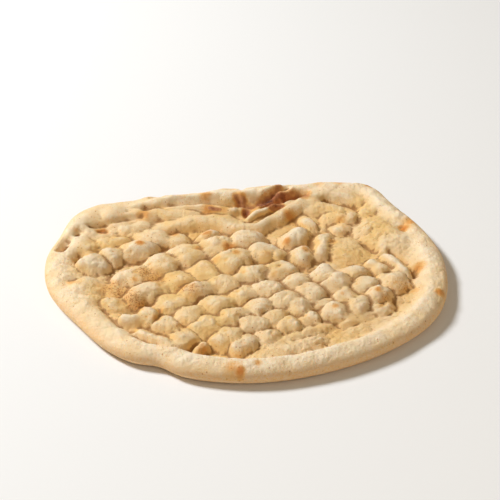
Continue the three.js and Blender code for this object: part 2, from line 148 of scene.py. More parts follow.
# Ridges, folds and pads that are longer than a lump: crest line, half width, height, and the share
# by which the right side, seen along the line, is steeper than the left.
RIDGES = (
    (((38, 37), (56, 65)), 15, 11, 0),  # long lumps and pads, middle right
    (((46, 10), (57, 32)), 15, 10.5, 0),
    (((67, 18), (72, 36), (74, 52), (77, 60)), 10.5, 9, 0),
    (((55, 74), (66, 79)), 16, 7, 0),
    (((74, 88), (92, 84), (108, 85)), 10, 5.5, 0),
    (((82, 63), (97, 74)), 11, 5.5, 0),
    (((86, 20), (98, 50)), 24, 6, 0),
    (((115, 76), (134, 52), (144, 32)), 25, 7, 0),
    (((126, 20), (136, 4), (146, -12)), 10, 7, 0),
    (((113, 13), (126, -6)), 11, 7, 0),
    (((-134, 38), (-106, 47)), 12, 5.5, 0),
    (((-118, 60), (-92, 73)), 13, 5, 0),
    (((112, 98), (126, 92)), 18, 5, 0),
    (FRONT_LEFT_SMILE, 9, 8, 0.2),
    (((-106, -80), (-90, -77), (-80, -74)), 9, 7.5, 0),
    (((-101, -55), (-78, -35)), 14, 12.5, 0),
    (((-116, -26), (-99, -17)), 14, 10, 0),
    (((13, -114), (33, -104), (54, -90), (72, -80)), 11, 5.5, 0.2),
    (((4, -128), (24, -120), (46, -111), (66, -99)), 12, 6, 0.2),
    (LONG_FOLD, 12, 8, 0.3),  # folds along the back
    (((-112, 99), (-84, 99), (-52, 98), (-22, 93), (-12, 93)), 10, 7, 0.4),
    (((-99, 96), (-84, 91), (-62, 85)), 5, 6, 0.2),
    (((-120, 82), (-88, 86), (-38, 82)), 10, 5.5, 0.4),
    (((-96, 104), (-52, 112), (-24, 116), (-9, 113)), 15, 10.5, 0.35),
    (((1, 77), (15, 89), (28, 97), (40, 101)), 6, 8.5, 0.3),
    (((-98, 42), (-80, 57)), 13, 10, 0.3),
    (((-136, 80), (-116, 92)), 21, 5.5, 0),
    (((53, 114), (82, 120), (100, 117), (112, 108)), 14, 7, 0.5),
    (((52, 102), (71, 101), (86, 98), (102, 88)), 13, 5.5, 0.2),
)
# Creases and pits sunk into the finished surface, and thin lips raised from it, which have a
# depth below nothing: line, half width, depth.
CREASES = (
    (((110, 42), (121, 31)), 3, 4.5),
    (((133, 28), (147, 10)), 3, 4.5),
    (((127, 9), (134, 0)), 2.5, 3),
    (((77, 112), (91, 106), (106, 102)), 3, 4),
    (((-146, 66), (-126, 75), (-112, 81), (-99, 84)), 3, 4),
    (((-96, 94), (-70, 99), (-34, 103), (-14, 102)), 3, 4),
    (((-92, 112), (-62, 121), (-34, 127), (-12, 126)), 3, 2.5),
    (((-168, 26), (-164, 40)), 5, 6),
    (((-156, 50), (-154, 56)), 5, 4),
    (((-152, 11), (-150, 18)), 5, 5),
    (((-158, -24), (-153, -22)), 5, 2.5),
    (((-137, 62), (-132, 63)), 3.5, 3.5),
    (((-90, -101), (-78, -112), (-61, -119), (-49, -118), (-40, -110)), 3, 4.5),
    (((-120, -64), (-109, -80), (-102, -88), (-92, -93)), 3, 3.5),
    (((152, -8), (153, -4)), 5, 5),
    (((148, 58), (149, 68)), 6, 3),
    (((2, 118), (10, 122), (32, 122)), 6, -2.5),
    (((-5, 108), (6, 106), (16, 107), (24, 112), (34, 117), (54, 121)), 5, 5),  # the hollow
    (((12, 99), (19, 107), (27, 113)), 3.5, -5),  # and the torn crags in it
    (((19, 100), (27, 107), (34, 110)), 3, 4),
    (((17, 119), (26, 125), (34, 131)), 3.5, -2.5),
    (((25, 118), (33, 124), (42, 129)), 2.5, 3.5),
    (((30, 116), (40, 122), (46, 126)), 3, -2.2),
    (((39, 117), (50, 121), (60, 121)), 2.5, 4),
    (((-1, 115), (5, 113), (12, 112), (19, 115)), 3, 3),
    (((-15, 88), (-6, 96), (0, 98)), 5, -3),
    (((1, 92), (1, 96)), 4, 4),
    (((1, 76), (10, 76), (27, 92), (49, 110)), 3, 3),
    (((38, 102), (46, 109), (51, 110)), 4, -2.5),
)

# Slow waves that keep every surface uneven: seed, number of waves, shortest and longest
# wavelength, total height. The last two push the pressed dough sideways and endways, so that no
# lump is a plain oval.
RIM_WAVES = (5, 6, 45, 90, 0.9)
FLOOR_WAVES = (9, 6, 60, 120, 0.5)
SKIN_WAVES = (21, 12, 14, 26, 0.35)
SIDEWAYS_WAVES = (51, 10, 14, 40, 1.8)
ENDWAYS_WAVES = (61, 10, 14, 40, 1.8)
RIDGE_PUSH = 0.4  # ridges and folds are pushed by this share of what the lumps are

# ---------------------------------------------------------------- finer relief than the solid's (mm)

# How deeply the dough is pinched in where two forms meet.
PINCH_BETWEEN_ROWS = 1.5
PINCH_IN_ROW = 0.5
PINCH_ROUND_RIDGE = 0.8
PINCH_AT_RIM = 0.7
PINCH_REACH = 2.2  # the pinch fades as the heights of the two forms part by this much
RIM_PINCH_FADE = 12  # past its foot the rim counts as this much lower, and pinches nothing there
SWELL_WIDTH = 20  # ridges this wide or wider are swells, which have no pinch round them
PINCH_SHARE = 0.7  # about the mean share of the pinch that a place has
PINCH_MOST = 1.2  # and the largest share
PINCH_WAVES = (71, 8, 20, 55, 0.45)  # how the share varies, as the waves above

SOFTENING = 0.4  # share by which each place is drawn to the mean height of the places round it
SOFTENING_START = 0.5  # where that begins, as a share of the rim's reach

BLISTERS = ((12, 1.5), (6, 1.0), (3, 1.1))  # fine relief of the baked skin: size, height
BLISTER_LEVEL = 0.2  # taken off each, as a share of its height
SKIN_FADE = 6  # the skin's relief fades out this near the widest line
RIM_SKIN_WIDTH = 20  # the rim's skin ends this far in, and fades over as much again
RIM_SKIN_SHARE = 0.65  # its share of the relief
FOLD_SKIN_SHARE = 0.45  # the share on the folds at the back
FOLDS_START = (75, 58)  # which lie to the left of the first and behind the second
FOLDS_FADE = 16

# Where the skin is rougher still: x, y, radius, added share.
ROUGH_PLACES = (
    (112, 58, 42, 0.7),
    (140, -48, 26, 0.7),
    (165, -20, 22, 0.6),
    (60, -112, 24, 0.5),
    (-145, 10, 26, 0.5),
)

# Thin cracks in the crust: line, half width, depth.
CRACKS = (
    (((-171, 25), (-166, 30), (-164, 35)), 1.8, 2.5),
    (((-159, 47), (-155, 52)), 1.6, 1.5),
    (((-150, 11), (-147, 15)), 1.6, 1.5),
)

# Small pits with a raised lip that some lumps have near their tops.
DIMPLE_SHARE = 0.5  # share of the lumps that have one
DIMPLE_SHIFT = 0.45  # how far from the top it may lie, as a share of the lump
DIMPLE_RADII = (2.5, 4.5)  # smallest and largest
DIMPLE_DEPTH = 0.8
DIMPLE_SEED = 17

# ---------------------------------------------------------------- shades of the crust (mm)

SHADE_FADE = 12  # the painted shade of hollows and creases, and the paler tops, are full this far in from the widest line
LOW_REACH = 6  # in cells: a place is low or high against the mean of those this far round it
LOW_DEPTH = 4  # and the hollows' painted shade and the tops' paler colour are full at this difference
CREASE_SHADE_REACH = 2  # the same for the painted shade of the creases
CREASE_SHADE_DEPTH = 1.0
RIM_SHADE_WIDTH = 16  # the rim's shade fades from here to twice as far in
SIDE_SHADE_TOP = 8  # the side's shade ends this far above the widest line
SIDE_SHADE_FADE = 6  # and is full this much lower
SIDE_SHADE_WIDTH = 14  # and it fades out towards this far in from the widest line
PIT_TOAST = 0.6  # how strongly the small pits are browned
FULL_UNDERNEATH = ("rim", "side")  # the shades that the turned edge and the underside have in full

# Browned places: x, y, radius, strength.
TOASTED = (
    (-96, 29, 5, 1.3),
    (-97, 86, 8, 0.9),
    (-67, 56, 7, 1.0),
    (-36, 50, 6, 1.1),
    (-42, 24, 5, 0.9),
    (-14, 26, 8, 1.2),
    (-26, 5, 6, 0.7),
    (-8, 12, 5, 0.9),
    (20, 14, 6, 0.7),
    (39, 40, 5, 1.1),
    (55, 25, 5, 0.9),
    (26, -15, 5, 0.6),
    (75, 61, 5, 1.0),
    (82, 45, 5, 0.9),
    (91, 79, 7, 0.8),
    (94, 70, 6, 0.6),
    (116, -43, 4, 1.1),
    (78, -62, 4, 0.9),
    (118, -57, 4, 0.8),
    (85, -45, 3, 0.7),
    (157, 0, 7, 0.9),
    (150, -32, 9, 0.6),
    (-34, -116, 7, 0.8),
    (-5, -124, 5, 0.6),
    (43, 87, 8, 1.0),
    (-3, -149, 4.5, 1.3),
    (-9, -147, 9, 0.75),
    (11, -141, 4, 0.8),
    (170, -43, 6, 1.1),
    (-135, 62, 6, 1.4),
    (-158, 55, 6, 0.6),
    (-35, 93, 8, 1.0),
    (-20, 94, 7, 0.8),
    (-39, 112, 8, 1.0),
    (-60, 112, 8, 0.6),
    (-5, 112, 8, 1.1),
    (149, 61, 6, 1.3),
    (156, 68, 9, 0.9),
    (92, 138, 9, 0.7),
    (72, 136, 9, 0.6),
    (-97, -24, 4, 0.9),
    (-74, -80, 5, 0.9),
    (-72, -66, 4, 0.9),
    (-153, -28, 7, 0.8),
    (-146, -31, 6, 0.6),
    (-165, 32, 4, 0.7),
    (-92, -92, 6, 0.6),
)
# Places speckled with fine browned dots, as above.
SPECKLED = (
    (-80, -20, 12, 0.95),
    (-90, -12, 11, 0.8),
    (-107, -40, 12, 0.95),
    (-118, -34, 14, 0.8),
    (-97, -53, 12, 0.9),
    (-88, -60, 12, 0.8),
    (-53, -36, 9, 0.85),
    (-45, -42, 9, 0.75),
    (-52, -88, 10, 0.6),
    (138, -30, 14, 0.6),
    (124, -50, 12, 0.6),
)
# Scorched places: line, half width, strength.
SCORCHED = (
    (((-3, 105), (12, 104), (22, 108), (34, 116), (46, 119), (58, 118)), 7.5, 0.6),
    (((28, 117), (34, 127)), 5, 0.5),
    (((16, 108), (24, 113)), 6, 1.1),
    (((27, 118), (38, 119)), 4, 0.85),
    (((53, 117), (58, 119)), 3, 1.2),
    (((24, 96), (36, 100)), 3.5, 0.8),
    (((0, 94), (2, 96)), 4, 0.9),
    (((-8, 112), (-2, 112)), 5, 0.6),
    (((-34, 93), (-24, 92)), 2.2, 0.75),
    (((122, 136), (128, 133)), 5, 0.6),
)

# ---------------------------------------------------------------- mesh

CELLS_ACROSS = 288  # of the top, a multiple of 8 because the rings of the underside halve its corners
EDGE_CROWDING = 0.2  # cells shrink towards the edge, where the surface turns fastest
# Rings of the edge below the widest line: 0 is the widest line, 90 the underside.
UNDER_TURNS = (12, 25, 38, 50, 60, 70, 80, 90)
# Rings of the underside, as shares of its edge: each has half the corners of the ring outside it.
BASE_RINGS = (0.985, 0.96, 0.9, 0.78, 0.5)


def smooth_step(t):
    """A smooth rise from 0 to 1 as t goes from 0 to 1, and level outside that."""
    t = np.clip(t, 0, 1)
    return t * t * (3 - 2 * t)


def soft_max(a, b, sharpness):
    """The larger of a and b, with their meeting line rounded over about 1 / sharpness."""
    return np.maximum(a, b) + np.log1p(np.exp(-sharpness * np.abs(a - b))) / sharpness


def bell_around(angle, at, spread):
    """A bell of height 1 around a direction, with the angle measured the short way round."""
    off = (np.degrees(angle) - at + 540) % 360 - 180
    return np.exp(-((off / spread) ** 2))


def random_from(seed):
    """A repeatable run of numbers from 0 to 1, the same as the solid's."""
    mask = 0xFFFFFFFF
    state = seed

    def draw():
        nonlocal state
        state = (state + 0x6D2B79F5) & mask
        t = ((state ^ (state >> 15)) * (state | 1)) & mask
        t ^= (t + (((t ^ (t >> 7)) * (t | 61)) & mask)) & mask
        return ((t ^ (t >> 14)) & mask) / 2**32

    return draw


def distance_to_line(x, y, line, lean=0):
    """Distance to a line of straight runs; lean makes its right side count as further away."""
    nearest = np.full_like(x, np.inf)
    for (x0, y0), (x1, y1) in zip(line, line[1:]):
        dx, dy = x1 - x0, y1 - y0
        t = np.clip(((x - x0) * dx + (y - y0) * dy) / (dx * dx + dy * dy), 0, 1)
        off_x, off_y = x - x0 - t * dx, y - y0 - t * dy
        away = np.hypot(off_x, off_y)
        side = (off_x * dy - off_y * dx) / (np.maximum(away, LEAST_DISTANCE) * math.hypot(dx, dy))
        nearest = np.minimum(nearest, away * (1 + lean * side))
    return nearest


def waves(x, y, kind):
    """A sum of sine waves with random directions, lengths and phases."""
    seed, count, shortest, longest, height = kind
    draw = random_from(seed)
    total = np.zeros_like(x)
    for _ in range(count):
        direction = draw() * 2 * math.pi
        turns = 2 * math.pi / (shortest + (longest - shortest) * draw())
        phase = draw() * 2 * math.pi
        total += np.sin((x * math.cos(direction) + y * math.sin(direction)) * turns + phase)
    return total * height / math.sqrt(count)


def spots(x, y, places):
    """The strength of round soft spots: x, y, radius, strength."""
    total = np.zeros_like(x)
    for cx, cy, wide, strength in places:
        total = np.maximum(total, strength * np.exp(-((x - cx) ** 2 + (y - cy) ** 2) / wide**2))
    return total


def bell_along(x, y, line, half_width):
    """A bell of height 1 across a line."""
    return np.exp(-((distance_to_line(x, y, line) / half_width) ** 2))


def streaks(x, y, places):
    """The strength of soft streaks: line, half width, strength."""
    total = np.zeros_like(x)
    for line, wide, strength in places:
        total = np.maximum(total, strength * bell_along(x, y, line, wide))
    return total


def outline_radius(angle, half_width, half_depth):
    """Distance from the middle to the widest line."""
    radius = 1 / np.hypot(np.cos(angle) / half_width, np.sin(angle) / half_depth)
    for at, out, spread in BULGES:
        radius = radius + out * bell_around(angle, at, spread)
    return radius


def lump_rows():
    """Every row as its lumps: x, y, direction, half length, half width, height."""
    draw = random_from(LUMP_SEED)
    rows = []
    for (x0, y0), (x1, y1), bow, count, long, wide, high in LUMP_ROWS:
        dx, dy = x1 - x0, y1 - y0
        length = math.hypot(dx, dy)
        ux, uy = dx / length, dy / length
        row = []
        for i in range(count):
            t = i / (count - 1) if count > 1 else 0
            side = bow * 4 * t * (1 - t)
            stray = [draw() * 2 - 1 for _ in range(5)]
            row.append(
                (
                    x0 + dx * t - uy * side + stray[0] * LUMP_SHIFT,
                    y0 + dy * t + ux * side + stray[1] * LUMP_SHIFT,
                    ux,
                    uy,
                    long * (1 + LUMP_LENGTH_SPREAD * stray[2]),
                    wide * (1 + LUMP_WIDTH_SPREAD * stray[3]),
                    high * (1 + LUMP_HEIGHT_SPREAD * stray[4]),
                )
            )
        rows.append(row)
    return rows


def merged(top, pinch, other_top, other_pinch, depth):
    """The higher of two forms, and how deeply the dough is pinched, also where the two meet."""
    meeting = depth * np.exp(-np.abs(top - other_top) / PINCH_REACH)
    return np.maximum(top, other_top), np.maximum(meeting, np.where(other_top > top, other_pinch, pinch))


def lump_height(x, y, lump):
    """Height of one lump above the floor."""
    cx, cy, ux, uy, long, wide, high = lump
    along = ((x - cx) * ux + (y - cy) * uy) / long
    across = ((y - cy) * ux - (x - cx) * uy) / wide
    return LUMP_TALLNESS * high * (1 - (np.hypot(along, across) / LUMP_FULLNESS) ** LUMP_ROUNDNESS)


def ridge_height(x, y, crest, wide, high, lean):
    """Height of one ridge above the floor."""
    (x0, y0), (x1, y1) = crest[0], crest[-1]
    dx, dy = x1 - x0, y1 - y0
    along = 2 * ((x - x0) * dx + (y - y0) * dy) / (dx * dx + dy * dy) - 1
    body = 1 - RIDGE_END_DROP * np.minimum(np.abs(along), RIDGE_END_REACH) ** 4
    return high * (body - (distance_to_line(x, y, crest, lean) / wide) ** RIDGE_ROUNDNESS)


def field_relief(x, y):
    """Height of the pressed dough above its floor, and how deeply it is pinched between its lumps."""
    push_x, push_y = waves(x, y, SIDEWAYS_WAVES), waves(x, y, ENDWAYS_WAVES)
    lump_x, lump_y = x + push_x, y + push_y
    ridge_x, ridge_y = x + RIDGE_PUSH * push_x, y + RIDGE_PUSH * push_y
    relief = np.zeros_like(x)
    top = np.zeros_like(x)
    pinch = np.zeros_like(x)
    for row in lump_rows():
        row_height = np.full_like(x, HIDDEN_DEPTH)
        row_top = np.full_like(x, HIDDEN_DEPTH)
        row_pinch = np.zeros_like(x)
        for lump in row:
            height = lump_height(lump_x, lump_y, lump)
            row_height = soft_max(row_height, np.maximum(height, HIDDEN_DEPTH), ROW_SHARPNESS)
            row_top, row_pinch = merged(row_top, row_pinch, height, 0, PINCH_IN_ROW)
        relief = soft_max(relief, row_height, FIELD_SHARPNESS)
        top, pinch = merged(top, pinch, row_top, row_pinch, PINCH_BETWEEN_ROWS)
    for crest, wide, high, lean in RIDGES:
        height = ridge_height(ridge_x, ridge_y, crest, wide, high, lean)
        relief = soft_max(relief, np.maximum(height, HIDDEN_DEPTH), RIDGE_SHARPNESS)
        depth = PINCH_ROUND_RIDGE if wide < SWELL_WIDTH else 0
        top, pinch = merged(top, pinch, height, 0, depth)
    return relief, pinch


def blisters(x, y):
    """Fine uneven relief of the baked skin."""
    total = np.zeros(x.size)
    for size, height in BLISTERS:
        places = np.column_stack([x.ravel() / size, y.ravel() / size, np.zeros(x.size)])
        total += height * (np.abs([noise.noise(place) for place in places.tolist()]) - BLISTER_LEVEL)
    return total.reshape(x.shape)


def dimples(x, y):
    """Depth of the small pits near the tops of the lumps, below nothing on their raised lips."""
    draw = random_from(DIMPLE_SEED)
    smallest, largest = DIMPLE_RADII
    depth = np.zeros_like(x)
    for row in lump_rows():
        for cx, cy, ux, uy, long, wide, high in row:
            luck, along, across, size = [draw() for _ in range(4)]
            along = (2 * along - 1) * DIMPLE_SHIFT * long
            across = (2 * across - 1) * DIMPLE_SHIFT * wide
            off_x, off_y = x - cx - along * ux + across * uy, y - cy - along * uy - across * ux
            away = (off_x**2 + off_y**2) / (smallest + (largest - smallest) * size) ** 2
            if luck < DIMPLE_SHARE:
                depth = depth + DIMPLE_DEPTH * (1 - away) * np.exp(-away)
    return depth


def roll_height(x, y, angle, inside, form):
    """Height of the rolled edge, from the widest line up to its top and level beyond."""
    rim_top = form.rim_height / MM + waves(x, y, RIM_WAVES)
    for at, up, spread in RIM_SWELLS:
        rim_top = rim_top + up * bell_around(angle, at, spread)
    turn = 1 - np.clip(inside / (form.rim_reach / MM), 0, 1)
    return WIDEST_HEIGHT + (rim_top - WIDEST_HEIGHT) * np.sqrt(1 - turn * turn)


def dough_height(x, y, angle, inside, form):
    """Height of the rim and the pressed dough, pinched in where two forms meet and softened."""
    reach = form.rim_reach / MM
    at_front = bell_around(angle, *FRONT)
    rise = FLOOR_RISE * (1 - at_front) + LEFT_FLOOR_RISE * bell_around(angle, *LEFT)
    rise = rise * smooth_step(1 - (inside - reach) / FLOOR_RISE_REACH)
    floor = form.floor_height / MM + rise + waves(x, y, FLOOR_WAVES)

    width = SIDE_RIM_WIDTH + (form.rim_width / MM - SIDE_RIM_WIDTH) * at_front
    fall = smooth_step((inside - reach) / (width - reach))
    rim = roll_height(x, y, angle, inside, form) * (1 - fall) + (floor - RIM_FOOT_DROP) * fall

    relief, pinch = field_relief(x, y)
    pressed = floor + relief - PRESSED_FADE * (1 - smooth_step((inside - PRESSED_START) / PRESSED_FADE))
    height = soft_max(rim, pressed, RIM_SHARPNESS)

    _, pinch = merged(pressed, pinch, rim - RIM_PINCH_FADE * fall, 0, PINCH_AT_RIM)
    uneven = np.clip(PINCH_SHARE + waves(x, y, PINCH_WAVES), 0, PINCH_MOST)
    height = height - pinch * uneven * smooth_step((inside - reach) / reach)
    soft = SOFTENING * smooth_step((inside - SOFTENING_START * reach) / reach)
    return height + soft * (blurred(height, 1) - height)


def skin_share(x, y, inside, on_field):
    """Share of the skin's relief: less on the rim and the folds, more at the rough places."""
    share = smooth_step(inside / SKIN_FADE) * (RIM_SKIN_SHARE + (1 - RIM_SKIN_SHARE) * on_field)
    folds = smooth_step((FOLDS_START[0] - x) / FOLDS_FADE) * smooth_step((y - FOLDS_START[1]) / FOLDS_FADE)
    return share * (1 - (1 - FOLD_SKIN_SHARE) * folds) * (1 + spots(x, y, ROUGH_PLACES))


def top_height(x, y, angle, inside, form):
    """Height of the top surface at a place that lies inside mm within the widest line."""
    height = dough_height(x, y, angle, inside, form)
    sunk = smooth_step(inside / EDGE_FADE)
    for line, wide, deep in CREASES + CRACKS:
        height = height - sunk * deep * bell_along(x, y, line, wide)
    height = height + sunk * waves(x, y, SKIN_WAVES)
    on_field = smooth_step((inside - RIM_SKIN_WIDTH) / RIM_SKIN_WIDTH)
    height = height + skin_share(x, y, inside, on_field) * blisters(x, y)
    return height - on_field * dimples(x, y)


def square_to_disc(a, b):
    """A square grid pulled into a disc: a direction, and a share of the way to the edge."""
    wide_side = np.abs(a) > np.abs(b)
    reach = np.where(wide_side, a, b)
    over = np.where(reach == 0, 1, reach)
    eighth = math.pi / 4
    base = np.where(wide_side, eighth * b / over, 2 * eighth - eighth * a / over)
    share = np.abs(reach)
    angle = np.where(reach < 0, base + math.pi, base)
    return angle, (1 + EDGE_CROWDING) * share - EDGE_CROWDING * share**3


def blurred(grid, reach):
    """The grid averaged over a square of 2 * reach + 1 cells, twice."""
    for _ in range(2):
        for axis in (0, 1):
            pad = [(0, 0), (0, 0)]
            pad[axis] = (reach + 1, reach)
            total = np.cumsum(np.pad(grid, pad, mode="edge"), axis=axis)
            after = np.take(total, range(2 * reach + 1, total.shape[axis]), axis=axis)
            before = np.take(total, range(0, total.shape[axis] - 2 * reach - 1), axis=axis)
            grid = (after - before) / (2 * reach + 1)
    return grid


def top_surface(form):
    """The top on a square grid: x, y, z, and how far each place lies within the widest line."""
    steps = np.linspace(-1, 1, CELLS_ACROSS + 1)
    angle, share = square_to_disc(*np.meshgrid(steps, steps))
    radius = outline_radius(angle, form.half_width / MM, form.half_depth / MM)
    x = radius * share * np.cos(angle)
    y = radius * share * np.sin(angle)
    inside = radius * (1 - share)
    return x, y, top_height(x, y, angle, inside, form), inside


def crust_shades(x, y, z, inside):
    """The attributes that the crust's material reads, for every place of the top."""
    on_top = smooth_step(inside / SHADE_FADE)
    side_top = WIDEST_HEIGHT + SIDE_SHADE_TOP
    at_edge = 1 - smooth_step(inside / SIDE_SHADE_WIDTH)
    browned_pits = PIT_TOAST * np.clip(dimples(x, y) / DIMPLE_DEPTH, 0, 1)
    return {
        # Hollows get painted shade; tops get a paler colour that is partly painted highlight.
        "low": on_top * np.clip((blurred(z, LOW_REACH) - z) / LOW_DEPTH, -1, 1),
        "rim": 1 - smooth_step((inside - RIM_SHADE_WIDTH) / RIM_SHADE_WIDTH),
        "side": smooth_step((side_top - z) / SIDE_SHADE_FADE) * at_edge,
        # Painted shade in the creases, where a place lies below the places close round it.
        "painted_crease_shade": on_top * np.clip((blurred(z, CREASE_SHADE_REACH) - z) / CREASE_SHADE_DEPTH, 0, 1),
        "toast": np.maximum(browned_pits, spots(x, y, TOASTED)),
        "speckled": spots(x, y, SPECKLED),
        "scorch": streaks(x, y, SCORCHED),
    }


def edge_and_underside(widest, ring, count):
    """The edge turned in below the widest line, and the flat underside: points, quads, triangles.

    The ring holds the numbers of the widest line's points, and the new ones are numbered from
    count on.
    """
    points, quads, triangles = [], [], []
    distance = np.hypot(widest[:, 0], widest[:, 1])[:, None]

    def add_ring(places, height):
        nonlocal count
        points.append(np.column_stack([places, np.full(len(places), float(height))]))
        made = np.arange(count, count + len(places))
        count += len(places)
        return made

    for degrees in UNDER_TURNS:
        turn = math.radians(degrees)
        edge = widest * (1 - UNDERCUT * (1 - math.cos(turn)) / distance)
        lower = add_ring(edge, WIDEST_HEIGHT * (1 - math.sin(turn)))
        quads.append(np.stack([ring, lower, np.roll(lower, -1), np.roll(ring, -1)], 1))
        ring = lower

    for level, ring_share in enumerate(BASE_RINGS):
        inner = add_ring(edge[:: 2 ** (level + 1)] * ring_share, 0)
        first, second, third = ring[0::2], ring[1::2], np.roll(ring[0::2], -1)
        after = np.roll(inner, -1)
        triangles.append(np.stack([first, inner, second], 1))
        triangles.append(np.stack([second, inner, after], 1))
        triangles.append(np.stack([second, after, third], 1))
        ring = inner
    middle = add_ring(np.zeros((1, 2)), 0)
    triangles.append(np.stack([ring, np.repeat(middle, len(ring)), np.roll(ring, -1)], 1))
    return np.concatenate(points), np.concatenate(quads), np.concatenate(triangles)


def bread_mesh(form):
    """The bread's mesh in metres, with its attributes for the crust's shades."""
    x, y, z, inside = top_surface(form)
    top = np.stack([x.ravel(), y.ravel(), z.ravel()], 1)
    grid = np.arange(len(top)).reshape(x.shape)
    top_quads = np.stack([grid[:-1, :-1], grid[:-1, 1:], grid[1:, 1:], grid[1:, :-1]], -1).reshape(-1, 4)
    ring = np.concatenate([grid[0, :-1], grid[:-1, -1], grid[-1, :0:-1], grid[:0:-1, 0]])
    under, under_quads, triangles = edge_and_underside(top[ring][:, :2], ring, len(top))

    places = np.concatenate([top, under])
    centre = (places.min(0) + places.max(0)) / 2
    places[:, :2] -= centre[:2]

    mesh = bpy.data.meshes.new("bread_crust")
    faces = top_quads.tolist() + under_quads.tolist() + triangles.tolist()
    mesh.from_pydata((places * MM).tolist(), [], faces)
    mesh.shade_smooth()
    for name, values in crust_shades(x, y, z, inside).items():
        attribute = mesh.attributes.new(name, "FLOAT", "POINT")
        underneath = np.full(len(under), float(name in FULL_UNDERNEATH))
        attribute.data.foreach_set("value", np.concatenate([values.ravel(), underneath]))
    mesh.update()
    return mesh


# ---------------------------------------------------------------- materials

# Patterns of the crust: how many features there are to a metre, how many finer layers lie over
# them, and how strong those are.
BROAD = (22.0, 3.0, 0.55)  # the broadest changes from pale to golden
PATCHES = (35.0, 2.0, 0.55)  # where freckles and bran gather
BLOTCHES = (60.0, 3.0, 0.55)  # golden blotches of the rim
SCORCH_PATCHES = (110.0, 5.0, 0.6)
MOTTLE = (120.0, 4.0, 0.55)
RAGGED = (260.0, 5.0, 0.65)  # makes the edges of browned and scorched places ragged
TANNED = (450.0, 5.0, 0.75)  # fine mottling of the rim's side
GRAIN = (600.0, 4.0, 0.7)  # the dots of the speckled places
FRECKLES = (1000.0, 2.0, 0.6)
COARSE_RELIEF = (160.0, 4.0, 0.6)
FINE_RELIEF = (420.0, 6.0, 0.75)
GRIT_RELIEF = (1100.0, 3.0, 0.7)
BRAN_CELLS = 300.0  # to a metre, with a fleck in some of them
RELIEF_HEIGHT = 0.0013  # in metres, of the finest relief


class Nodes:
    """Short calls for adding and joining shader nodes."""

    def __init__(self, tree):
        self.tree = tree

    def add(self, kind, inputs=(), **settings):
        """A new node with these settings and inputs."""
        node = self.tree.nodes.new(kind)
        for key, value in settings.items():
            setattr(node, key, value)
        for key, value in dict(inputs).items():
            self.put(node, key, value)
        return node

    def put(self, node, key, value):
        """Joins a node's input to another node's output, or sets it to a plain value."""
        if isinstance(value, bpy.types.NodeSocket):
            self.tree.links.new(value, node.inputs[key])
        else:
            node.inputs[key].default_value = value

    def math(self, operation, a, b):
        return self.add("ShaderNodeMath", {0: a, 1: b}, operation=operation).outputs[0]

    def plus(self, a, b):
        return self.math("ADD", a, b)

    def minus(self, a, b):
        return self.math("SUBTRACT", a, b)

    def times(self, a, b):
        return self.math("MULTIPLY", a, b)

    def mix(self, share, a, b):
        """Colour a with this share of colour b."""
        node = self.add("ShaderNodeMix", data_type="RGBA")
        self.put(node, "Factor", share)
        self.put(node, 6, a)
        self.put(node, 7, b)
        return node.outputs[2]

    def band(self, value, low, high, to_low=0.0, to_high=1.0):
        """A smooth rise from to_low to to_high as the value goes from low to high."""
        inputs = {"Value": value, "From Min": low, "From Max": high, "To Min": to_low, "To Max": to_high}
        node = self.add("ShaderNodeMapRange", inputs, interpolation_type="SMOOTHSTEP")
        return node.outputs["Result"]

    def noise(self, place, scale, detail, roughness):
        inputs = {"Vector": place, "Scale": scale, "Detail": detail, "Roughness": roughness}
        return self.add("ShaderNodeTexNoise", inputs).outputs["Fac"]

    def height_of(self, place):
        return self.add("ShaderNodeSeparateXYZ", {"Vector": place}).outputs["Z"]

    def attribute(self, name):
        return self.add("ShaderNodeAttribute", attribute_name=name).outputs["Fac"]


def plain_crust(n, look, place, rim):
    """Golden crust: pale on the lumps and the rim, partly flour and partly painted highlight; deeper
    golden in the hollows as painted shade, and near the table as tan and painted shade.
    """
    low = n.attribute("low")
    broad = n.band(n.noise(place, *BROAD), 0.35, 0.65)
    mottle = n.band(n.noise(place, *MOTTLE), 0.35, 0.7)
    lower_tan_and_shade = n.band(n.height_of(place), 0.014, 0.003, 0.0, 0.3)
    top_highlight = n.band(n.height_of(place), 0.015, 0.019, 0.0, 0.6)
    blotches = n.band(n.noise(place, *BLOTCHES), 0.42, 0.62)
    colour = n.mix(n.times(broad, 0.5), look.golden, look.pale)
    colour = n.mix(n.times(mottle, 0.3), colour, look.deep_golden)
    # Paler tops of the lumps: partly flour, partly painted highlight.
    colour = n.mix(n.band(low, -0.1, -0.8, 0.0, 0.7), colour, look.pale)
    # Deeper golden in the hollows: painted shade.
    colour = n.mix(n.band(low, 0.0, 1.0, 0.0, 0.35), colour, look.deep_golden)
    # Deeper golden low down: partly tan from the oven, partly painted shade.
    colour = n.mix(lower_tan_and_shade, colour, look.deep_golden)
    colour = n.mix(n.times(rim, 0.5), colour, look.pale)
    # A painted highlight makes the rim's top paler.
    colour = n.mix(n.times(rim, top_highlight), colour, look.pale)
    return n.mix(n.times(n.times(rim, blotches), 0.3), colour, look.golden)


def tan_and_shade_side(n, look, place, colour):
    """Tans the rim's side, partly as painted shade of its walls, with fine mottling."""
    side = n.attribute("side")
    # The side's colour: partly tan, partly painted shade of the walls.
    colour = n.mix(n.times(side, 0.6), colour, look.side)
    tanned = n.times(side, n.band(n.noise(place, *TANNED), 0.46, 0.6))
    return n.mix(n.times(tanned, 0.45), colour, look.toasting)


def speckle(n, look, place, ragged, colour):
    """Dusts the speckled places with fine browned dots."""
    dusty = n.band(n.plus(n.attribute("speckled"), n.times(ragged, 0.8)), 0.5, 1.3)
    dots = n.times(dusty, n.band(n.noise(place, *GRAIN), 0.46, 0.58))
    colour = n.mix(n.times(dusty, 0.7), colour, look.toasting)
    return n.mix(n.band(dots, 0.3, 0.9, 0.0, 0.85), colour, look.bran)


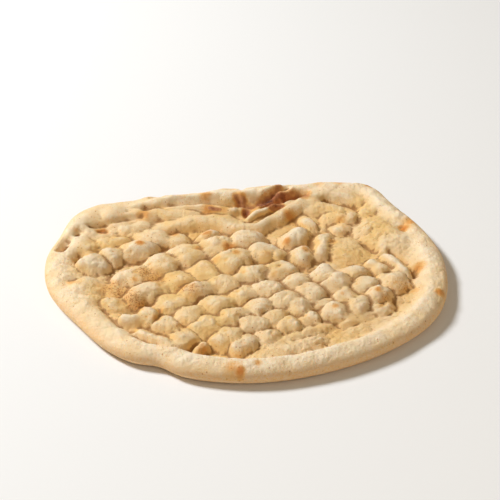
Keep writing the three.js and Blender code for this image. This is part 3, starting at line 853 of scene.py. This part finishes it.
def scatter_bran(n, look, place, patches, warm, colour):
    """Scatters small round flecks of bran, more of them round the browned spots."""
    cells = n.add("ShaderNodeTexVoronoi", {"Vector": place, "Scale": BRAN_CELLS})
    fleck = n.band(cells.outputs["Distance"], 0.26, 0.12)
    chosen = n.add("ShaderNodeSeparateColor", {"Color": cells.outputs["Color"]}).outputs[0]
    likely = n.plus(chosen, n.times(warm, 0.35))
    flecks = n.times(n.times(fleck, n.band(likely, 0.70, 0.86)), patches)
    return n.mix(n.times(flecks, 0.75), colour, look.bran)


def scorch(n, look, place, ragged, colour):
    """Scorches the crust, from a singed edge to almost black."""
    uneven = n.plus(n.times(n.noise(place, *SCORCH_PATCHES), 1.3), n.times(ragged, 1.1))
    burnt = n.times(n.attribute("scorch"), n.minus(uneven, 0.25))
    colour = n.mix(n.band(burnt, 0.1, 0.3, 0.0, 0.7), colour, look.toasting)
    colour = n.mix(n.band(burnt, 0.2, 0.5), colour, look.singed)
    colour = n.mix(n.band(burnt, 0.45, 0.8), colour, look.scorched_edge)
    return n.mix(n.band(burnt, 0.8, 1.15), colour, look.scorched)


def crust_relief(n, place, rim):
    """The finest relief of the crust, a little weaker on the rim."""
    relief = n.plus(n.times(n.noise(place, *FINE_RELIEF), 1.1), n.noise(place, *COARSE_RELIEF))
    relief = n.plus(relief, n.times(n.noise(place, *GRIT_RELIEF), 0.5))
    strength = n.minus(1.0, n.times(rim, 0.2))
    bump = {"Height": relief, "Strength": strength, "Distance": RELIEF_HEIGHT}
    return n.add("ShaderNodeBump", bump).outputs["Normal"]


def crust_material(look):
    """Pale golden crust with browned spots, freckles, bran, painted shade in the creases and hollows, and
    scorching.
    """
    material = bpy.data.materials.new("baked_crust")
    material.use_nodes = True
    n = Nodes(material.node_tree)
    shader = material.node_tree.nodes["Principled BSDF"]
    place = n.add("ShaderNodeTexCoord").outputs["Object"]
    rim = n.attribute("rim")
    toast = n.attribute("toast")
    ragged = n.noise(place, *RAGGED)
    patches = n.band(n.noise(place, *PATCHES), 0.3, 0.55)
    freckles = n.times(n.band(n.noise(place, *FRECKLES), 0.53, 0.68), patches)
    warm = n.band(n.plus(toast, n.times(ragged, 0.6)), 0.4, 1.2)
    browned = n.band(n.plus(toast, n.times(ragged, 0.7)), 0.8, 1.6)
    crease_shade_share = n.band(n.attribute("painted_crease_shade"), 0.25, 1.0, 0.0, 0.8)

    colour = plain_crust(n, look, place, rim)
    colour = tan_and_shade_side(n, look, place, colour)
    colour = n.mix(n.times(freckles, 0.7), colour, look.toasting)
    colour = n.mix(n.times(warm, 0.8), colour, look.toasting)
    colour = n.mix(browned, colour, look.toasted)
    colour = speckle(n, look, place, ragged, colour)
    # Painted shade darkens the creases.
    colour = n.mix(crease_shade_share, colour, look.painted_crease_shade)
    colour = scatter_bran(n, look, place, patches, warm, colour)
    colour = scorch(n, look, place, ragged, colour)

    n.put(shader, "Base Color", colour)
    n.put(shader, "Roughness", n.band(browned, 0.0, 1.0, 0.7, 0.5))
    n.put(shader, "Specular IOR Level", 0.5)
    n.put(shader, "Subsurface Weight", 0.15)
    n.put(shader, "Subsurface Radius", (1.0, 0.45, 0.2))
    n.put(shader, "Subsurface Scale", 0.0015)
    n.put(shader, "Normal", crust_relief(n, place, rim))
    return material


def floor_material(look):
    """The matt, pale table top."""
    material = bpy.data.materials.new("pale_floor")
    material.use_nodes = True
    shader = material.node_tree.nodes["Principled BSDF"]
    shader.inputs["Base Color"].default_value = look.floor
    shader.inputs["Roughness"].default_value = 0.9
    return material


# ---------------------------------------------------------------- settings


def length_setting(name, description, default_mm):
    """A length that the user can change, given in mm."""
    return bpy.props.FloatProperty(
        name=name, description=description, default=default_mm * MM, unit="LENGTH", subtype="DISTANCE"
    )


def colour_setting(name, description, red, green, blue):
    """A colour that the user can change."""
    return bpy.props.FloatVectorProperty(
        name=name,
        description=description,
        default=(red, green, blue, 1.0),
        size=4,
        min=0.0,
        max=1.0,
        subtype="COLOR",
    )


class PideForm(bpy.types.PropertyGroup):
    """Sizes of the bread"""

    half_width: length_setting("Half width", "From the middle to the left and right edge", 180)
    half_depth: length_setting("Half depth", "From the middle to the front edge", 148)
    rim_height: length_setting("Rim height", "The rolled edge above the table", 17)
    rim_reach: length_setting("Rim reach", "From the widest line in to the top of the roll", 14)
    rim_width: length_setting("Rim width", "From the widest line in to the foot of the roll", 31)
    floor_height: length_setting("Floor height", "Dough left under a fingertip", 5)


class PideLook(bpy.types.PropertyGroup):
    """Colours of the crust and the table top"""

    # Pale is partly flour and partly painted highlight on the tops and the rim.
    pale: colour_setting("Pale crust", "Floury tops", 0.98, 0.84, 0.64)
    golden: colour_setting("Golden crust", "Most of the crust", 0.90, 0.61, 0.25)
    # Deep golden is random mottling, painted shade in the hollows, and tan with painted shade low down.
    deep_golden: colour_setting("Deep golden", "Low parts of the crust", 0.84, 0.49, 0.15)
    # The side's colour is partly tan from the oven floor, partly painted shade of the walls.
    side: colour_setting("Side of the rim", "Tanned by the oven floor", 0.85, 0.52, 0.25)
    # The colour of the painted shade in the creases.
    painted_crease_shade: colour_setting("Creases", "Where the dough folds inwards", 0.36, 0.16, 0.04)
    toasting: colour_setting("Lightly toasted", "Round the browned spots", 0.88, 0.46, 0.10)
    toasted: colour_setting("Toasted", "Browned spots", 0.70, 0.25, 0.03)
    bran: colour_setting("Bran", "Small flecks", 0.48, 0.17, 0.03)
    singed: colour_setting("Singed", "Where the scorching fades out", 0.60, 0.26, 0.09)
    scorched_edge: colour_setting("Scorched edge", "Round the scorched hollow", 0.36, 0.115, 0.035)
    scorched: colour_setting("Scorched", "The scorched hollow", 0.10, 0.025, 0.006)
    floor: colour_setting("Floor", "The table top", 0.86, 0.86, 0.86)


class PideStage(bpy.types.PropertyGroup):
    """The camera and the lights"""

    distance: length_setting("Camera distance", "From the middle of the view", 1100)
    elevation: bpy.props.FloatProperty(
        name="Camera elevation",
        description="Angle above the horizon",
        default=math.radians(36),
        subtype="ANGLE",
        unit="ROTATION",
    )
    focal_length: bpy.props.FloatProperty(
        name="Focal length", description="On a 36 mm wide sensor, in mm", default=88.0, min=10.0
    )
    key_power: bpy.props.FloatProperty(
        name="Key light", description="Large light from the back left, in watts", default=104.0, min=0.0
    )
    fill_power: bpy.props.FloatProperty(
        name="Fill light", description="Light from the front right, in watts", default=4.3, min=0.0
    )


# ---------------------------------------------------------------- pieces


class PIDE_OT_add_bread(bpy.types.Operator):
    """Makes the bread over its CAD solid"""

    bl_idname = "pide.add_bread"
    bl_label = "Bread"

    def execute(self, context):
        bread = bpy.data.objects.new("pide", bread_mesh(context.scene.pide_form))
        context.collection.objects.link(bread)
        bread.data.materials.append(crust_material(context.scene.pide_look))
        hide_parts("bread")
        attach(bread, "root")
        return {"FINISHED"}


# ---------------------------------------------------------------- stage

# The camera: the pixel of a view of 500 by 500 that shows VIEW_MIDDLE, which is near the middle of
# the bread's underside.
VIEW_SIZE = 500
MIDDLE_PIXEL = (248, 284)
VIEW_MIDDLE = (2.6 * MM, -6.6 * MM, 0)
SENSOR_WIDTH = 36

# The round lights: place and width in metres, tint.
KEY_LIGHT = ((-2.0, 0.84, 2.1), 0.8, (0.94, 0.97, 1.0))
FILL_LIGHT = ((0.9, -1.2, 1.0), 1.2, (1.0, 0.87, 0.70))
SKY_COLOUR = (1.0, 0.84, 0.62, 1.0)
SKY_STRENGTH = 0.26
FLOOR_HALF_SIZE = 6.0


def add_camera(stage):
    """Adds the camera, level from side to side and looking down at the bread."""
    focal_pixels = stage.focal_length / SENSOR_WIDTH * VIEW_SIZE
    tilt = math.atan((MIDDLE_PIXEL[1] - VIEW_SIZE / 2) / focal_pixels)
    sideways = (VIEW_SIZE / 2 - MIDDLE_PIXEL[0]) * stage.distance / focal_pixels
    back = Vector((0, -math.cos(stage.elevation), math.sin(stage.elevation)))
    data = bpy.data.cameras.new("view")
    data.lens = stage.focal_length
    data.sensor_width = SENSOR_WIDTH
    camera = bpy.data.objects.new("view", data)
    place = Vector(VIEW_MIDDLE) + back * stage.distance + Vector((sideways, 0, 0))
    turn = Matrix.Rotation(math.pi / 2 - stage.elevation + tilt, 4, "X")
    camera.matrix_world = Matrix.Translation(place) @ turn
    bpy.context.collection.objects.link(camera)
    bpy.context.scene.camera = camera


def add_round_light(name, power, place, size, tint):
    """Adds a round light that faces the middle of the scene."""
    data = bpy.data.lights.new(name, "AREA")
    data.shape = "DISK"
    data.size = size
    data.energy = power
    data.color = tint
    light = bpy.data.objects.new(name, data)
    light.location = place
    light.rotation_euler = Vector(place).to_track_quat("Z", "Y").to_euler()
    bpy.context.collection.objects.link(light)


class PIDE_OT_add_stage(bpy.types.Operator):
    """Makes the pale floor, the soft lights and the camera"""

    bl_idname = "pide.add_stage"
    bl_label = "Stage"

    def execute(self, context):
        stage = context.scene.pide_stage
        half = FLOOR_HALF_SIZE
        mesh = bpy.data.meshes.new("floor")
        corners = [(-half, -half, 0), (half, -half, 0), (half, half, 0), (-half, half, 0)]
        mesh.from_pydata(corners, [], [(0, 1, 2, 3)])
        mesh.materials.append(floor_material(context.scene.pide_look))
        floor = bpy.data.objects.new("floor", mesh)
        context.collection.objects.link(floor)

        add_round_light("key", stage.key_power, *KEY_LIGHT)
        add_round_light("fill", stage.fill_power, *FILL_LIGHT)

        world = bpy.data.worlds.new("studio")
        world.use_nodes = True
        background = world.node_tree.nodes["Background"]
        background.inputs["Color"].default_value = SKY_COLOUR
        background.inputs["Strength"].default_value = SKY_STRENGTH
        context.scene.world = world
        context.scene.view_settings.view_transform = "Standard"
        add_camera(stage)
        return {"FINISHED"}


class PIDE_PT_panel(bpy.types.Panel):
    """Lists the stage and the bread, and their sizes, colours and lights"""

    bl_idname = "PIDE_PT_panel"
    bl_label = "Pide"
    bl_space_type = "VIEW_3D"
    bl_region_type = "UI"
    bl_category = "Pide"

    def draw(self, context):
        layout = self.layout
        for group in (context.scene.pide_form, context.scene.pide_look, context.scene.pide_stage):
            for name in group.__annotations__:
                layout.prop(group, name)
        layout.operator(PIDE_OT_add_stage.bl_idname)
        layout.operator(PIDE_OT_add_bread.bl_idname)


CLASSES = (PideForm, PideLook, PideStage, PIDE_OT_add_stage, PIDE_OT_add_bread, PIDE_PT_panel)


def register():
    for cls in CLASSES:
        bpy.utils.register_class(cls)
    bpy.types.Scene.pide_form = bpy.props.PointerProperty(type=PideForm)
    bpy.types.Scene.pide_look = bpy.props.PointerProperty(type=PideLook)
    bpy.types.Scene.pide_stage = bpy.props.PointerProperty(type=PideStage)


def unregister():
    del bpy.types.Scene.pide_stage
    del bpy.types.Scene.pide_look
    del bpy.types.Scene.pide_form
    for cls in reversed(CLASSES):
        bpy.utils.unregister_class(cls)


def main():
    register()
    bpy.ops.pide.add_stage()
    bpy.ops.pide.add_bread()


if __name__ == "__main__":
    main()
